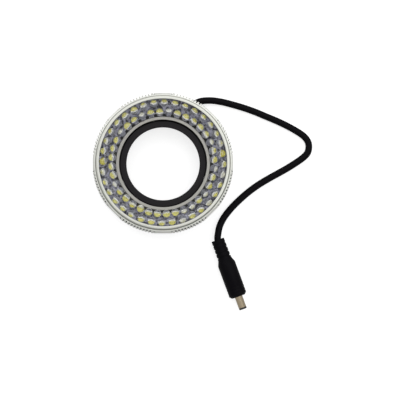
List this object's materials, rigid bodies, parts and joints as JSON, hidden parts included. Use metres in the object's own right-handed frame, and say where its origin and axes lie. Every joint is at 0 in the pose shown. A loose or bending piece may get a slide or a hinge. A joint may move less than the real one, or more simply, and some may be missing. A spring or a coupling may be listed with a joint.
{
  "type": "microscope led ring illuminator",
  "caption": "Ring illuminator for a microscope: rows of clear lamps lean inward round a sight hole in a ribbed metal head, clamped on an adapter ring by thumbscrews, with cord and DC plug.",
  "frame": {"origin": "middle of the mounting collar's lower face, on the axis of the bore, where the head lies on a surface", "axes": "+Z along the bore, the way the lamps face; -Y points to the flat of the grip that faces the viewer; the plug lies towards +X and -Y"},
  "size_m": [0.1547, 0.1515, 0.0291],
  "materials": {
    "satin_aluminium": "satin, bead blasted and clear anodised",
    "bezel_aluminium": "satin, fine turned",
    "grey_aluminium": "satin, turned, warm grey",
    "slate_plastic": "matt black moulding",
    "clear_epoxy": "clear, glossy",
    "phosphor": "matt pale yellow",
    "tinned_lead_frame": "bright tin",
    "circuit_board": "green solder mask",
    "chip_resistor": "glazed black",
    "standoff_brass": "turned",
    "screw_steel": "zinc plated",
    "black_anodised": "black anodised, satin",
    "nickelled_steel": "nickel plated, knurled",
    "nylon": "natural nylon",
    "black_rubber": "matt",
    "red_wire": "wire insulation",
    "black_wire": "wire insulation",
    "cord_sheath": "satin black sheath",
    "plug_moulding": "satin black moulding",
    "plug_nickel": "nickel plated",
    "plug_insulator": "black moulding"
  },
  "bodies": {
    "head": {"grip_shell": "satin_aluminium", "front_bezel": "bezel_aluminium", "rear_cover": "satin_aluminium", "mount_collar": "satin_aluminium", "bore_sleeve": "grey_aluminium", "led_holder": "slate_plastic", "led_lenses_outer": "clear_epoxy", "led_lenses_inner": "clear_epoxy", "led_phosphors_outer": "phosphor", "led_phosphors_inner": "phosphor", "led_cathodes_outer": "tinned_lead_frame", "led_cathodes_inner": "tinned_lead_frame", "led_anodes_outer": "tinned_lead_frame", "led_anodes_inner": "tinned_lead_frame", "led_board": "circuit_board", "resistors": "chip_resistor", "board_standoffs": "standoff_brass", "board_screws": "screw_steel", "cover_screws": "screw_steel", "collar_screws": "screw_steel", "cord_gland": "black_rubber", "supply_wire_positive": "red_wire", "supply_wire_negative": "black_wire", "cord": "cord_sheath", "plug_body": "plug_moulding", "plug_barrel": "plug_nickel", "plug_insulator": "plug_insulator", "plug_contact": "plug_nickel"},
    "adapter": {"adapter_ring": "black_anodised"},
    "tip_1": {"screw_tip_1": "nylon"},
    "tip_2": {"screw_tip_2": "nylon"},
    "tip_3": {"screw_tip_3": "nylon"},
    "screw_1": {"thumbscrew_1": "nickelled_steel"},
    "screw_2": {"thumbscrew_2": "nickelled_steel"},
    "screw_3": {"thumbscrew_3": "nickelled_steel"}
  },
  "joints": [
    {"name": "adapter_swivel", "type": "hinge", "parent": "head", "child": "adapter", "pos_m": [0, 0, 0.0088], "axis": [0, 0, 1], "continuous": true},
    {"name": "thumbscrew_1_travel", "type": "slide", "parent": "head", "child": "tip_1", "axis": [1, 0, 0], "range_m": [0, 0.0015]},
    {"name": "thumbscrew_1_turn", "type": "hinge", "parent": "tip_1", "child": "screw_1", "pos_m": [0.04, 0, 0.00425], "axis": [1, 0, 0], "range_deg": [0, 1080]},
    {"name": "thumbscrew_2_travel", "type": "slide", "parent": "head", "child": "tip_2", "axis": [-0.5, 0.866, 0], "range_m": [0, 0.0015]},
    {"name": "thumbscrew_2_turn", "type": "hinge", "parent": "tip_2", "child": "screw_2", "pos_m": [-0.02, 0.03464, 0.00425], "axis": [-0.5, 0.866, 0], "range_deg": [0, 1080]},
    {"name": "thumbscrew_3_travel", "type": "slide", "parent": "head", "child": "tip_3", "axis": [-0.5, -0.866, 0], "range_m": [0, 0.0015]},
    {"name": "thumbscrew_3_turn", "type": "hinge", "parent": "tip_3", "child": "screw_3", "pos_m": [-0.02, -0.03464, 0.00425], "axis": [-0.5, -0.866, 0], "range_deg": [0, 1080]}
  ],
  "couplings": [
    {"joint": "thumbscrew_1_turn", "follows": "thumbscrew_1_travel", "rad_per_m": 12566},
    {"joint": "thumbscrew_2_turn", "follows": "thumbscrew_2_travel", "rad_per_m": 12566},
    {"joint": "thumbscrew_3_turn", "follows": "thumbscrew_3_travel", "rad_per_m": 12566}
  ]
}
